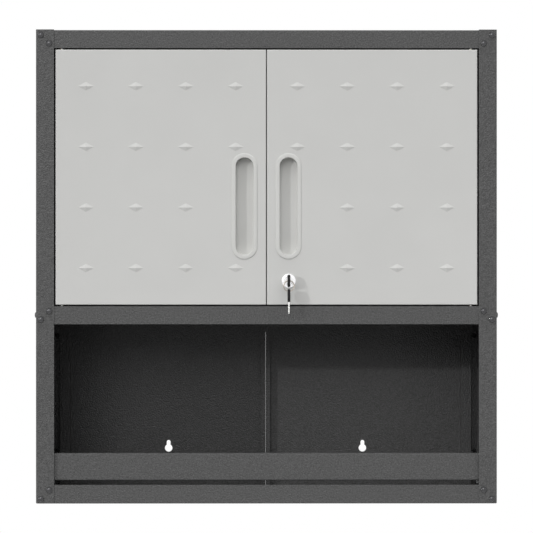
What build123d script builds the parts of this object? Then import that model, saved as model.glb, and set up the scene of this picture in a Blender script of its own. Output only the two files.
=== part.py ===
from build123d import *
import os

# A wall cabinet of folded sheet steel. Four corner angles carry a top, a fixed shelf and a
# bottom tray. Two hinged doors close the upper bay, and a low bar fences the open lower bay.
# X runs to the right, Y runs back to the wall and Z runs up. The origin is on the underside,
# halfway along the edge that meets the wall, so the wall is the plane Y = 0.

os.makedirs("parts", exist_ok=True)

# Overall sizes
cabinet_width = 700.0
cabinet_height = 720.0
cabinet_depth = 320.0

# Sheet and frame
sheet = 1.0
post_wall = 1.2
post_leg = 27.5
post_bend = 2.0
post_proud = 0.8
post_lift = 0.8
rail_height = 27.5
bottom_rail_height = 28.5
shelf_top = 300.0
shelf_rear_flange = 46.8
tray_bend = 1.6
sheet_edge_gap = 1.0
fit = 0.2

# Back panels
pan_depth = 13.0
lower_pan_gap = 0.16
upper_pan_gap = 0.04
pan_centre_lip = 6.9
pan_rib_width = 17.0
pan_rib_inset = 14.6
pan_lip_height = 11.9
upper_pan_margin = 11.0
pan_joint_drop = 9.5

# Keyhole slots for the wall screws
keyhole_spacing = 317.0
lower_keyhole_z = 63.4
upper_keyhole_z = 638.4
keyhole_radius = 6.1
keyhole_slot_radius = 3.1
keyhole_rise = 9.8

# Doors
door_side_gap = 2.25
door_centre_gap = 1.3
door_top_gap = 2.4
door_bottom_gap = 2.0
door_setback = 0.5
door_depth = 18.0
door_bend = 1.2
door_lip = 14.0
boss_pitch_x = 75.7
boss_pitch_z = 92.0
boss_columns = 4
boss_rows = 4
boss_half_length = 12.5
boss_half_height = 6.6
boss_rise = 1.5
boss_tip = 0.04

# Recessed pulls
pull_width = 26.8
pull_height = 148.4
pull_rim = 6.1
pull_rim_proud = 1.1
pull_wall = 1.2
pull_recess = 15.0
pull_floor_radius = 4.0
pull_from_centre = 33.4
pull_rise = 149.6

# Hinge pins and bushes
pivot_from_edge = 9.5
pivot_behind_face = 6.0
pin_radius = 1.5
pin_running_gap = 0.05
pin_head_radius = 3.0
pin_head = 1.5
pin_reach = 9.2
bush_radius = 2.3
bush_length = 4.0
bush_end_gap = 0.4
hinge_plate = 2.0
hinge_plate_width = 18.0
hinge_plate_reach = 17.0
hinge_plate_rise = 17.0
hinge_plate_drop = 0.8

# Frame fasteners
bolt_inset = 7.4
bolt_radius = 2.5
bolt_clearance = 0.2
bolt_head_radius = 4.7
bolt_head = 3.0
bolt_dome = 2.4
bolt_length = 8.0
nut_flats = 8.0
nut_height = 4.0
nut_bore_gap = 0.05
screw_radius = 2.0
screw_clearance = 0.1
screw_head_radius = 3.6
screw_head = 2.0
screw_dome = 1.2
shelf_screw_x = 250.0
shelf_screw_z = 276.0

# Fence bar
fence_low = 35.1
fence_height = 41.1
fence_setback = 5.0
fence_lip = 12.0
fence_tab = 22.0

# Adjustable shelf and its clips
loose_shelf_top = 497.0
loose_shelf_depth = 262.0
loose_shelf_flange = 20.0
loose_shelf_wall_gap = 3.6
loose_shelf_rear_gap = 4.0
clip_radius = 2.9
clip_hole_gap = 0.1
clip_ledge_width = 12.0
clip_ledge_reach = 3.2
clip_ledge_height = 9.0
clip_end_inset = 38.0
clip_hole_pitch = 50.0
clip_hole_rows = 3

# Magnetic catch
catch_width = 110.0
catch_leg = 15.0
catch_drop = 16.0
magnet_length = 30.0
magnet_thick = 6.0
magnet_height = 10.0
magnet_spacing = 70.0
strike_length = 34.0
strike_height = 12.0
strike_thick = 1.2
catch_gap = 0.4

# Cam lock and keys
lock_from_centre = 33.8
lock_rise = 36.6
lock_face_radius = 11.0
lock_face = 2.6
lock_face_bevel = 1.1
barrel_radius = 9.0
barrel_length = 19.0
barrel_clearance = 0.2
plug_radius = 6.0
plug_sunk = 0.4
lock_nut_flats = 22.0
lock_nut_height = 4.0
cam_thick = 2.0
cam_width = 14.0
cam_reach = 44.0
cam_gap = 0.4
tang = 7.0
cam_screw_head_radius = 4.5
cam_screw_head = 2.2
cam_screw_radius = 1.9
key_blade_thick = 2.1
key_blade_height = 7.0
key_blade_length = 17.3
key_blade_hidden = 6.0
key_cover_gap = 0.4
key_head_thick = 4.2
key_head_edge = 1.1
key_head_height = 18.8
key_head_length = 20.0
key_head_corner = 7.0
key_hole_radius = 2.4
key_hole_inset = 3.6
key_slot_gap = 0.1
key_tip_chamfer = 2.3
key_cuts = ((5.2, 1.0), (7.8, 2.0), (10.4, 1.4), (13.0, 2.2))
key_cut_width = 1.2
ring_radius = 8.0
ring_wire_radius = 0.75
ring_hang_gap = 0.4

# Places that follow from the sizes above
half_width = cabinet_width / 2
front = -cabinet_depth
tray_front = front + post_wall
side_sheet_face = half_width - post_wall
tray_half = side_sheet_face - sheet
tray_rear = -(pan_depth + fit)
top_face = cabinet_height - post_proud
top_rail_low = top_face - rail_height
shelf_rail_low = shelf_top - rail_height
shelf_rear_low = shelf_top - shelf_rear_flange
opening_half = half_width - post_leg
door_front = front + door_setback
door_back = door_front + door_depth
door_low = shelf_top + door_bottom_gap
door_high = top_rail_low - door_top_gap
door_outer = opening_half - door_side_gap
door_inner = door_centre_gap / 2
door_middle_x = (door_outer + door_inner) / 2
door_middle_z = (door_low + door_high) / 2
pull_z = door_low + pull_rise
lock_z = door_low + lock_rise
pivot_x = door_outer - pivot_from_edge
pivot_y = door_front + pivot_behind_face
bolt_hole = bolt_radius + bolt_clearance
screw_hole = screw_radius + screw_clearance
sides = (("left", -1), ("right", 1))


def block(corner, opposite, mode=Mode.ADD):
    """Adds or cuts a square-edged block between two opposite corners, given in any order."""
    low = [min(a, b) for a, b in zip(corner, opposite)]
    high = [max(a, b) for a, b in zip(corner, opposite)]
    with Locations(tuple(low)):
        Box(*(b - a for a, b in zip(low, high)), align=(Align.MIN,) * 3, mode=mode)


def rod(start, radius, length, turn, mode=Mode.ADD):
    """Adds or cuts a round rod that grows from start along the direction that turn gives +Z."""
    with Locations(Location(start, turn)):
        Cylinder(radius, length, align=(Align.CENTER, Align.CENTER, Align.MIN), mode=mode)


def save(piece, name):
    """Labels a finished piece and writes its STEP file."""
    piece.part.label = name
    export_step(piece.part, f"parts/{name}.step")


# Turns that point a rod's +Z along each axis
to_back = (-90, 0, 0)
to_front = (90, 0, 0)
to_right = (0, 90, 0)
to_left = (0, -90, 0)
upwards = (0, 0, 0)
downwards = (180, 0, 0)

# Bolt places. Each joint has an outer and an inner bolt on the post's front leg. The pair
# slopes inwards and down at the top, and inwards and up at the shelf and the bottom.
outer_bolt_x = half_width - bolt_inset
inner_bolt_x = opening_half + bolt_inset
front_bolt_places = [
    (outer_bolt_x, top_face - bolt_inset),
    (inner_bolt_x, top_rail_low + bolt_inset),
    (outer_bolt_x, shelf_rail_low + bolt_inset),
    (inner_bolt_x, shelf_top - bolt_inset),
    (outer_bolt_x, bolt_inset),
    (inner_bolt_x, bottom_rail_height - bolt_inset),
]
rear_bolt_y = -post_leg + bolt_inset
side_bolt_places = [(front + post_leg / 2, shelf_top - rail_height / 2)]
for rail_low, rail_high in (
    (top_rail_low, top_face),
    (shelf_rail_low, shelf_top),
    (0, bottom_rail_height),
):
    side_bolt_places.append((rear_bolt_y, rail_low + bolt_inset))
    side_bolt_places.append((rear_bolt_y, rail_high - bolt_inset))

# Screw places: the fence bar's end tabs, and the back panels' outer margins
fence_screw_y = front + post_leg / 2
fence_screw_places = [
    (fence_screw_y, fence_low + fence_height * share) for share in (0.25, 0.75)
]
margin_outer = tray_half - fit
margin_screw_x = (half_width - pan_rib_inset + margin_outer) / 2
upper_pan_low = shelf_top - pan_joint_drop + fit
lower_pan_high = shelf_top - pan_joint_drop - fit
upper_pan_high = top_face - sheet - fit
lower_pan_low = sheet + fit
margin_screw_heights = [
    lower_pan_low + (lower_pan_high - lower_pan_low) * share for share in (0.2, 0.85)
] + [upper_pan_low + (upper_pan_high - upper_pan_low) * share for share in (0.15, 0.5, 0.85)]

# Corner posts: angles folded from 1.2 mm strip, holed for the bolts
for side, sx in sides:
    for end, corner_y, sy in (("front", front, 1), ("rear", 0, -1)):
        with BuildPart() as post:
            with BuildSketch(Plane.XY.offset(post_lift)) as angle:
                outline = [
                    (0, 0),
                    (post_leg, 0),
                    (post_leg, post_wall),
                    (post_wall, post_wall),
                    (post_wall, post_leg),
                    (0, post_leg),
                ]
                with BuildLine():
                    points = [(sx * (half_width - a), corner_y + sy * b) for a, b in outline]
                    Polyline(*points, close=True)
                make_face()
                heel = angle.vertices().sort_by_distance((*points[0], post_lift))[0]
                fillet(heel, post_bend)
                throat = angle.vertices().sort_by_distance((*points[3], post_lift))[0]
                fillet(throat, post_bend - post_wall)
            extrude(amount=cabinet_height - post_lift)
            if end == "front":
                for x, z in front_bolt_places:
                    rod((sx * x, front - sheet, z), bolt_hole, 4 * sheet, to_back, Mode.SUBTRACT)
                for y, z in fence_screw_places:
                    rod((sx * (half_width - 4 * sheet), y, z), screw_hole, 8 * sheet,
                        to_right if sx > 0 else to_left, Mode.SUBTRACT)
            else:
                for z in margin_screw_heights:
                    rod((sx * margin_screw_x, -4 * sheet, z), screw_hole, 8 * sheet, to_back,
                        Mode.SUBTRACT)
            for y, z in side_bolt_places:
                if (y < -cabinet_depth / 2) == (end == "front"):
                    rod((sx * (half_width - 4 * sheet), y, z), bolt_hole, 8 * sheet,
                        to_right if sx > 0 else to_left, Mode.SUBTRACT)
        save(post, f"post_{end}_{side}")

# Side panels: flat sheets held between the posts and the trays, with holes for shelf clips
clip_front_y = tray_rear - loose_shelf_rear_gap - loose_shelf_depth + clip_end_inset
clip_rear_y = tray_rear - loose_shelf_rear_gap - clip_end_inset
clip_z = loose_shelf_top - loose_shelf_flange - clip_radius
clip_rows = [clip_z + clip_hole_pitch * (row - clip_hole_rows // 2) for row in range(clip_hole_rows)]
for side, sx in sides:
    with BuildPart() as side_panel:
        block(
            (sx * tray_half, tray_front + sheet_edge_gap, 0),
            (sx * side_sheet_face, -post_wall - sheet_edge_gap, top_face),
        )
        outwards = to_right if sx > 0 else to_left
        inner_x = sx * (tray_half - sheet)
        for y, z in side_bolt_places:
            rod((inner_x, y, z), bolt_hole, 4 * sheet, outwards, Mode.SUBTRACT)
        for y, z in fence_screw_places:
            rod((inner_x, y, z), screw_hole, 4 * sheet, outwards, Mode.SUBTRACT)
        for y in (clip_front_y, clip_rear_y):
            for z in clip_rows:
                rod((inner_x, y, z), clip_radius + clip_hole_gap, 4 * sheet, outwards, Mode.SUBTRACT)
    save(side_panel, f"side_panel_{side}")


def tray_holes():
    """Cuts every frame bolt hole that meets the tray being built."""
    for sx in (-1, 1):
        for x, z in front_bolt_places:
            rod((sx * x, tray_front - sheet, z), bolt_hole, 3 * sheet, to_back, Mode.SUBTRACT)
        for y, z in side_bolt_places:
            rod((sx * (tray_half - 2 * sheet), y, z), bolt_hole, 4 * sheet,
                to_right if sx > 0 else to_left, Mode.SUBTRACT)


# Top tray: its web covers the cabinet and its front and side flanges hang down
with BuildPart() as top_panel:
    block((-tray_half, tray_front, top_rail_low), (tray_half, -post_wall, top_face))
    rims = top_panel.edges().group_by(Axis.Z)[-1].sort_by(Axis.Y)[:-1]
    fillet(rims, tray_bend)
    block(
        (-tray_half + sheet, tray_front + sheet, top_rail_low),
        (tray_half - sheet, 0, top_face - sheet),
        Mode.SUBTRACT,
    )
    block(
        (-tray_half, tray_rear, top_rail_low),
        (tray_half, 0, top_face - sheet),
        Mode.SUBTRACT,
    )
    tray_holes()
save(top_panel, "top_panel")

# Fixed shelf: a tray with flanges all round, and a deeper one at the rear for the back panels
with BuildPart() as fixed_shelf:
    block((-tray_half, tray_front, shelf_rail_low), (tray_half, tray_rear, shelf_top))
    fillet(fixed_shelf.edges().group_by(Axis.Z)[-1], tray_bend)
    block(
        (-tray_half + sheet, tray_front + sheet, shelf_rail_low),
        (tray_half - sheet, tray_rear - sheet, shelf_top - sheet),
        Mode.SUBTRACT,
    )
    block(
        (-tray_half, tray_rear - sheet, shelf_rear_low),
        (tray_half, tray_rear, shelf_top - tray_bend),
    )
    tray_holes()
    for sx in (-1, 1):
        rod((sx * pivot_x, pivot_y, shelf_top - 2 * sheet), pin_radius + screw_clearance,
            3 * sheet, upwards, Mode.SUBTRACT)
save(fixed_shelf, "fixed_shelf")

# Bottom tray: its flanges stand up, and a tongue reaches back to the wall between the posts
with BuildPart() as bottom_panel:
    block((-tray_half, tray_front, 0), (tray_half, -post_wall, bottom_rail_height))
    rims = bottom_panel.edges().group_by(Axis.Z)[0].sort_by(Axis.Y)[:-1]
    fillet(rims, tray_bend)
    block(
        (-tray_half + sheet, tray_front + sheet, sheet),
        (tray_half - sheet, 0, bottom_rail_height),
        Mode.SUBTRACT,
    )
    block((-tray_half, tray_rear, sheet), (tray_half, 0, bottom_rail_height), Mode.SUBTRACT)
    block((-opening_half + fit, -2 * post_wall, 0), (opening_half - fit, 0, sheet))
    tray_holes()
save(bottom_panel, "bottom_panel")

# Back panels: pressed pans. The web lies on the wall plane, its edges fold forward into lips,
# and beyond a hollow rib the outer margin laps in front of the rear post's leg.
rib_outer = half_width - pan_rib_inset
rib_inner = rib_outer - pan_rib_width
centre_fold = lower_pan_gap / 2 + pan_centre_lip
for level, centre_gap, pan_low, web_low, web_high, pan_high in (
    ("lower", lower_pan_gap, lower_pan_low, lower_pan_low, shelf_rear_low - pan_lip_height,
     lower_pan_high),
    ("upper", upper_pan_gap, upper_pan_low, shelf_top + upper_pan_margin,
     upper_pan_high - pan_lip_height, upper_pan_high),
):
    for side, sx in sides:
        with BuildPart() as pan:
            with BuildSketch(Plane.XY.offset(pan_low)):
                stations = [
                    (centre_gap / 2, -pan_depth),
                    (centre_fold, -pan_depth),
                    (centre_fold, -sheet),
                    (rib_inner, -sheet),
                    (rib_inner, -pan_depth),
                    (rib_outer, -pan_depth),
                    (rib_outer, -post_wall - sheet),
                    (margin_outer, -post_wall - sheet),
                    (margin_outer, -post_wall),
                    (rib_outer - sheet, -post_wall),
                    (rib_outer - sheet, -pan_depth + sheet),
                    (rib_inner + sheet, -pan_depth + sheet),
                    (rib_inner + sheet, 0),
                    (centre_fold - sheet, 0),
                    (centre_fold - sheet, -pan_depth + sheet),
                    (centre_gap / 2, -pan_depth + sheet),
                ]
                with BuildLine():
                    Polyline(*((sx * x, y) for x, y in stations), close=True)
                make_face()
            extrude(amount=pan_high - pan_low)
            inner, outer = sx * centre_fold, sx * rib_inner
            for fold, edge in ((web_low, pan_low), (web_high, pan_high)):
                towards_web = sheet if fold == web_low else -sheet
                block((inner, -pan_depth, fold), (outer, 0, fold + towards_web))
                if edge != fold:
                    block((inner, -sheet, fold), (outer, 0, edge), Mode.SUBTRACT)
                    block((inner, -pan_depth, fold), (outer, -pan_depth + sheet, edge))
            keyhole_z = lower_keyhole_z if level == "lower" else upper_keyhole_z
            with BuildSketch(Plane.XZ.offset(2 * sheet)):
                with Locations((sx * keyhole_spacing / 2, keyhole_z)):
                    Circle(keyhole_radius)
                    Rectangle(2 * keyhole_slot_radius, keyhole_rise, align=(Align.CENTER, Align.MIN))
                with Locations((sx * keyhole_spacing / 2, keyhole_z + keyhole_rise)):
                    Circle(keyhole_slot_radius)
            extrude(amount=-3 * sheet, mode=Mode.SUBTRACT)
            for z in margin_screw_heights:
                rod((sx * margin_screw_x, -5 * sheet, z), screw_hole, 6 * sheet, to_back,
                    Mode.SUBTRACT)
        save(pan, f"back_panel_{level}_{side}")

# Fence bar: a channel with folded end tabs, screwed to the side panels
fence_front = front + fence_setback
fence_high = fence_low + fence_height
fence_half = tray_half - fit
with BuildPart() as fence_bar:
    block((-fence_half, fence_front, fence_low), (fence_half, fence_front + fence_tab, fence_high))
    fillet(fence_bar.edges().group_by(Axis.Y)[0].filter_by(Axis.X), tray_bend)
    block(
        (-fence_half + sheet, fence_front + sheet, fence_low + sheet),
        (fence_half - sheet, fence_front + fence_tab, fence_high - sheet),
        Mode.SUBTRACT,
    )
    for edge_z in (fence_low, fence_high - sheet):
        block(
            (-fence_half + sheet, fence_front + fence_lip, edge_z),
            (fence_half - sheet, fence_front + fence_tab, edge_z + sheet),
            Mode.SUBTRACT,
        )
    for side, sx in sides:
        for y, z in fence_screw_places:
            rod((sx * (fence_half - 2 * sheet), y, z), screw_hole, 4 * sheet,
                to_right if sx > 0 else to_left, Mode.SUBTRACT)
save(fence_bar, "fence_bar")

# Adjustable shelf: a shallow tray that lifts off four clips
shelf_half = tray_half - loose_shelf_wall_gap
loose_rear = tray_rear - loose_shelf_rear_gap
loose_front = loose_rear - loose_shelf_depth
loose_low = loose_shelf_top - loose_shelf_flange
with BuildPart() as loose_shelf:
    block((-shelf_half, loose_front, loose_low), (shelf_half, loose_rear, loose_shelf_top))
    fillet(loose_shelf.edges().group_by(Axis.Z)[-1], tray_bend)
    block(
        (-shelf_half + sheet, loose_front + sheet, loose_low),
        (shelf_half - sheet, loose_rear - sheet, loose_shelf_top - sheet),
        Mode.SUBTRACT,
    )
save(loose_shelf, "adjustable_shelf")

# Shelf clips: a peg through the side panel and a ledge under the shelf's flange
with BuildPart() as shelf_clips:
    for side, sx in sides:
        for y in (clip_front_y, clip_rear_y):
            rod((sx * tray_half, y, clip_z), clip_radius, sheet, to_right if sx > 0 else to_left)
            block(
                (sx * tray_half, y - clip_ledge_width / 2, loose_low - clip_ledge_height),
                (sx * (tray_half - clip_ledge_reach), y + clip_ledge_width / 2, loose_low),
            )
            block(
                (sx * (tray_half - clip_ledge_reach), y - clip_ledge_width / 2,
                 loose_low - clip_ledge_reach),
                (sx * (shelf_half - 4 * sheet), y + clip_ledge_width / 2, loose_low),
            )
save(shelf_clips, "shelf_clips")


# Frame bolts: a low domed head outside the post and a hexagon nut inside
front_stack = post_wall + sheet
side_stack = post_wall + 2 * sheet


def grouped(piece, places):
    """Returns one part that holds a copy of piece at each (point, turn)."""
    with BuildPart() as group:
        for point, turn in places:
            with Locations(Location(point, turn)):
                add(piece.part)
    return group


def fastener(shank_radius, length, head_radius, head, dome):
    """Returns a fastener with its shank along +Z and a rounded head below the seat."""
    with BuildPart() as piece:
        rod((0, 0, 0), shank_radius, length, upwards)
        rod((0, 0, 0), head_radius, head, downwards)
        fillet(piece.edges().filter_by(GeomType.CIRCLE).sort_by(Axis.Z)[0], dome)
    return piece


with BuildPart() as nut:
    with BuildSketch(Plane.XY):
        RegularPolygon(nut_flats / 2, 6, major_radius=False, rotation=30)
        Circle(bolt_radius + nut_bore_gap, mode=Mode.SUBTRACT)
    extrude(amount=nut_height)
bolt = fastener(bolt_radius, bolt_length, bolt_head_radius, bolt_head, bolt_dome)

front_seats = []
front_nut_seats = []
side_seats = []
side_nut_seats = []
for side, sx in sides:
    inwards = to_left if sx > 0 else to_right
    for x, z in front_bolt_places:
        front_seats.append(((sx * x, front, z), to_back))
        front_nut_seats.append(((sx * x, front + front_stack, z), to_back))
    for y, z in side_bolt_places:
        side_seats.append(((sx * half_width, y, z), inwards))
        side_nut_seats.append(((sx * (half_width - side_stack), y, z), inwards))
save(grouped(bolt, front_seats), "front_bolts")
save(grouped(nut, front_nut_seats), "front_nuts")
save(grouped(bolt, side_seats), "side_bolts")
save(grouped(nut, side_nut_seats), "side_nuts")

# Panel screws: heads inside the cabinet, and shanks that end flush with the outside
tab_face = fence_half - sheet
fence_screw = fastener(
    screw_radius, half_width - tab_face, screw_head_radius, screw_head, screw_dome
)
fence_seats = []
for side, sx in sides:
    for y, z in fence_screw_places:
        fence_seats.append(((sx * tab_face, y, z), to_right if sx > 0 else to_left))
save(grouped(fence_screw, fence_seats), "fence_screws")

margin_screw = fastener(screw_radius, post_wall + sheet, screw_head_radius, screw_head, screw_dome)
margin_seats = []
for side, sx in sides:
    for z in margin_screw_heights:
        margin_seats.append(((sx * margin_screw_x, -post_wall - sheet, z), to_back))
save(grouped(margin_screw, margin_seats), "back_panel_screws")

# Hinges: the upper pins stand in angle brackets behind the top tray's front flange, and the
# lower pins pass up through the fixed shelf. Each door turns on bushes pressed into its folds.
flange_back = tray_front + sheet
plate_low = top_rail_low + hinge_plate_drop
plate_high = plate_low + hinge_plate
pin_in_door = pin_reach - door_bottom_gap
for side, sx in sides:
    with BuildPart() as bracket:
        near = sx * (pivot_x - hinge_plate_width / 2)
        far = sx * (pivot_x + hinge_plate_width / 2)
        block((near, flange_back, plate_low), (far, flange_back + hinge_plate_reach, plate_high))
        block(
            (near, flange_back, plate_low),
            (far, flange_back + hinge_plate, plate_low + hinge_plate_rise),
        )
        rod((sx * pivot_x, pivot_y, plate_low - sheet), pin_radius, 3 * hinge_plate, upwards,
            Mode.SUBTRACT)
    save(bracket, f"hinge_bracket_{side}")

    with BuildPart() as pins:
        rod((sx * pivot_x, pivot_y, shelf_top - sheet), pin_radius, sheet + pin_reach, upwards)
        rod((sx * pivot_x, pivot_y, shelf_top - sheet), pin_head_radius, pin_head, downwards)
        rod((sx * pivot_x, pivot_y, plate_high), pin_radius,
            plate_high - door_high + pin_in_door, downwards)
    save(pins, f"hinge_pins_{side}")

    with BuildPart() as bushes:
        for end_z, gap, turn, back_turn in (
            (door_low, door_bottom_gap, upwards, downwards),
            (door_high, door_top_gap, downwards, upwards),
        ):
            end = (sx * pivot_x, pivot_y, end_z)
            rod(end, bush_radius, bush_length, turn)
            rod(end, bush_radius, gap - bush_end_gap, back_turn)
            rod(end, pin_radius + pin_running_gap, bush_length, turn, Mode.SUBTRACT)
            rod(end, pin_radius + pin_running_gap, gap, back_turn, Mode.SUBTRACT)
    save(bushes, f"door_bushes_{side}")

# Magnetic catch: a folded strip behind the top tray's flange carries two magnets, and a
# strike plate on each door's upper lip meets its magnet
strike_back = door_back + strike_thick
magnet_front = strike_back + catch_gap
leg_front = magnet_front + magnet_thick
catch_low = door_high - catch_drop
catch_floor = top_rail_low + hinge_plate_drop
magnet_middle_z = door_high - door_lip / 2
with BuildPart() as catch_bracket:
    block(
        (-catch_width / 2, flange_back, catch_floor),
        (catch_width / 2, flange_back + sheet, catch_floor + catch_leg),
    )
    block(
        (-catch_width / 2, flange_back, catch_floor),
        (catch_width / 2, leg_front + sheet, catch_floor + sheet),
    )
    block(
        (-catch_width / 2, leg_front, catch_low),
        (catch_width / 2, leg_front + sheet, catch_floor + sheet),
    )
save(catch_bracket, "catch_bracket")

with BuildPart() as catch_magnets:
    for side, sx in sides:
        block(
            (sx * magnet_spacing / 2 - magnet_length / 2, magnet_front,
             magnet_middle_z - magnet_height / 2),
            (sx * magnet_spacing / 2 + magnet_length / 2, leg_front,
             magnet_middle_z + magnet_height / 2),
        )
save(catch_magnets, "catch_magnets")

# Doors: pans with return lips, rows of pressed diamond bosses, a pull and, on the right, a lock
diamond = [
    (boss_half_length, 0),
    (0, boss_half_height),
    (-boss_half_length, 0),
    (0, -boss_half_height),
]
with BuildPart() as boss:
    with BuildSketch(Plane.XZ):
        Polygon(*diamond)
    with BuildSketch(Plane.XZ.offset(boss_rise)):
        Polygon(*((a * boss_tip, b * boss_tip) for a, b in diamond))
    loft()

# A pull in its own frame: the door's front face is Y = 0 and the recess runs back from it
with BuildPart() as pull_hollow:
    with BuildSketch(Plane.XZ.offset(pull_rim_proud)):
        SlotOverall(pull_height, pull_width, rotation=90)
    extrude(amount=-(pull_recess + pull_rim_proud))
    fillet(pull_hollow.edges().group_by(Axis.Y)[-1], pull_floor_radius - pull_wall)

with BuildPart() as pull_cup:
    with BuildSketch(Plane.XZ.offset(pull_rim_proud)):
        SlotOverall(pull_height + 2 * pull_rim, pull_width + 2 * pull_rim, rotation=90)
    extrude(amount=-pull_rim_proud)
    fillet(pull_cup.edges().group_by(Axis.Y)[0], pull_rim_proud / 2)
    with BuildSketch(Plane.XZ):
        SlotOverall(pull_height + 2 * pull_wall, pull_width + 2 * pull_wall, rotation=90)
    extrude(amount=-(pull_recess + pull_wall))
    fillet(pull_cup.edges().group_by(Axis.Y)[-1], pull_floor_radius)
    add(pull_hollow.part, mode=Mode.SUBTRACT)

inner_column = 0
lower_rows = (boss_rows - 2, boss_rows - 1)
left_out = {"left": lower_rows[:1], "right": lower_rows}
pull_hole_width = pull_width + 2 * (pull_wall + fit)
pull_hole_height = pull_height + 2 * (pull_wall + fit)
for side, sx in sides:
    places = []
    for row in range(boss_rows):
        for column in range(boss_columns):
            if column != inner_column or row not in left_out[side]:
                x = door_middle_x + boss_pitch_x * (column - (boss_columns - 1) / 2)
                z = door_middle_z - boss_pitch_z * (row - (boss_rows - 1) / 2)
                places.append((sx * x, z))
    with BuildPart() as door:
        block((sx * door_inner, door_front, door_low), (sx * door_outer, door_back, door_high))
        fillet(door.edges().group_by(Axis.Y)[0], door_bend)
        block(
            (sx * (door_inner + sheet), door_front + sheet, door_low + sheet),
            (sx * (door_outer - sheet), door_back - sheet, door_high - sheet),
            Mode.SUBTRACT,
        )
        block(
            (sx * (door_inner + door_lip), door_front + sheet, door_low + door_lip),
            (sx * (door_outer - door_lip), door_back, door_high - door_lip),
            Mode.SUBTRACT,
        )
        for x, z in places:
            with Locations((x, door_front, z)):
                add(boss.part)
            with Locations((x, door_front + sheet, z)):
                add(boss.part, mode=Mode.SUBTRACT)
        with BuildSketch(Plane.XZ.offset(-door_front + sheet)):
            with Locations((sx * pull_from_centre, pull_z)):
                SlotOverall(pull_hole_height, pull_hole_width, rotation=90)
            if side == "right":
                with Locations((lock_from_centre, lock_z)):
                    Circle(barrel_radius + barrel_clearance)
        extrude(amount=-3 * sheet, mode=Mode.SUBTRACT)
        rod((sx * pivot_x, pivot_y, door_low - sheet), bush_radius, 3 * sheet, upwards,
            Mode.SUBTRACT)
        rod((sx * pivot_x, pivot_y, door_high + sheet), bush_radius, 3 * sheet, downwards,
            Mode.SUBTRACT)
    save(door, f"door_panel_{side}")

    pull_place = (sx * pull_from_centre, door_front, pull_z)
    save(grouped(pull_cup, [(pull_place, upwards)]), f"pull_cup_{side}")

    with BuildPart() as strike:
        middle = sx * magnet_spacing / 2
        block(
            (middle - strike_length / 2, door_back, magnet_middle_z - strike_height / 2),
            (middle + strike_length / 2, strike_back, magnet_middle_z + strike_height / 2),
        )
    save(strike, f"strike_plate_{side}")

# Cam lock: a barrel and its nut grip the right door. The plug, cam and key turn inside it.
lock_face_front = door_front - lock_face
barrel_back = door_front + barrel_length
plug_front = lock_face_front + plug_sunk
cam_front = barrel_back + cam_gap
cam_back = cam_front + cam_thick
key_back = lock_face_front - key_cover_gap
key_front = key_back - key_head_length
key_tip = key_back + key_blade_length


def lock_point(y):
    """Returns the point on the lock's axis at depth y."""
    return (lock_from_centre, y, lock_z)


with BuildPart() as barrel:
    rod(lock_point(lock_face_front), lock_face_radius, lock_face, to_back)
    fillet(barrel.edges().filter_by(GeomType.CIRCLE).sort_by(Axis.Y)[0], lock_face_bevel)
    rod(lock_point(door_front), barrel_radius, barrel_length, to_back)
    rod(lock_point(lock_face_front), plug_radius + pin_running_gap, lock_face + barrel_length,
        to_back, Mode.SUBTRACT)
save(barrel, "lock_barrel")

with BuildPart() as lock_nut:
    with BuildSketch(Plane.XZ.offset(-door_front - sheet)):
        with Locations((lock_from_centre, lock_z)):
            RegularPolygon(lock_nut_flats / 2, 6, major_radius=False)
            Circle(barrel_radius + nut_bore_gap, mode=Mode.SUBTRACT)
    extrude(amount=-lock_nut_height)
save(lock_nut, "lock_nut")

with BuildPart() as plug:
    rod(lock_point(plug_front), plug_radius, cam_front - plug_front, to_back)
    block(
        (lock_from_centre - tang / 2, cam_front, lock_z - tang / 2),
        (lock_from_centre + tang / 2, cam_back, lock_z + tang / 2),
    )
    block(
        (lock_from_centre - key_blade_thick / 2 - key_slot_gap, plug_front,
         lock_z - key_blade_height / 2 - key_slot_gap),
        (lock_from_centre + key_blade_thick / 2 + key_slot_gap, key_tip + key_slot_gap,
         lock_z + key_blade_height / 2 + key_slot_gap),
        Mode.SUBTRACT,
    )
    rod(lock_point(cam_back), cam_screw_radius, 2 * cam_thick, to_front, Mode.SUBTRACT)
save(plug, "lock_plug")

with BuildPart() as cam:
    with BuildSketch(Plane.XZ.offset(-cam_front)):
        with Locations((lock_from_centre, lock_z)):
            Circle(cam_width / 2)
            Rectangle(cam_width, cam_reach - cam_width / 2, align=(Align.CENTER, Align.MIN))
            Rectangle(tang, tang, mode=Mode.SUBTRACT)
        with Locations((lock_from_centre, lock_z + cam_reach - cam_width / 2)):
            Circle(cam_width / 2)
    extrude(amount=-cam_thick)
save(cam, "lock_cam")

cam_screw = fastener(
    cam_screw_radius, 2 * cam_thick, cam_screw_head_radius, cam_screw_head, screw_dome
)
save(grouped(cam_screw, [(lock_point(cam_back), to_front)]), "cam_screw")


# A key lies in a local frame: X across its thickness, Z from its cover towards its tip
with BuildPart() as key_steel:
    with Locations((0, 0, -key_blade_hidden)):
        Box(key_blade_thick, key_blade_height, key_blade_hidden + key_blade_length,
            align=(Align.CENTER, Align.CENTER, Align.MIN))
    chamfer(key_steel.faces().sort_by(Axis.Z)[-1].edges().filter_by(Axis.X), key_tip_chamfer)
    for along, deep in key_cuts:
        edge, mouth = key_blade_height / 2, key_cut_width / 2
        with BuildSketch(Plane.YZ.offset(-key_blade_thick)):
            Polygon(
                (edge, along - mouth - deep),
                (edge, along + mouth + deep),
                (edge - deep, along + mouth),
                (edge - deep, along - mouth),
                align=None,
            )
        extrude(amount=2 * key_blade_thick, mode=Mode.SUBTRACT)

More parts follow.
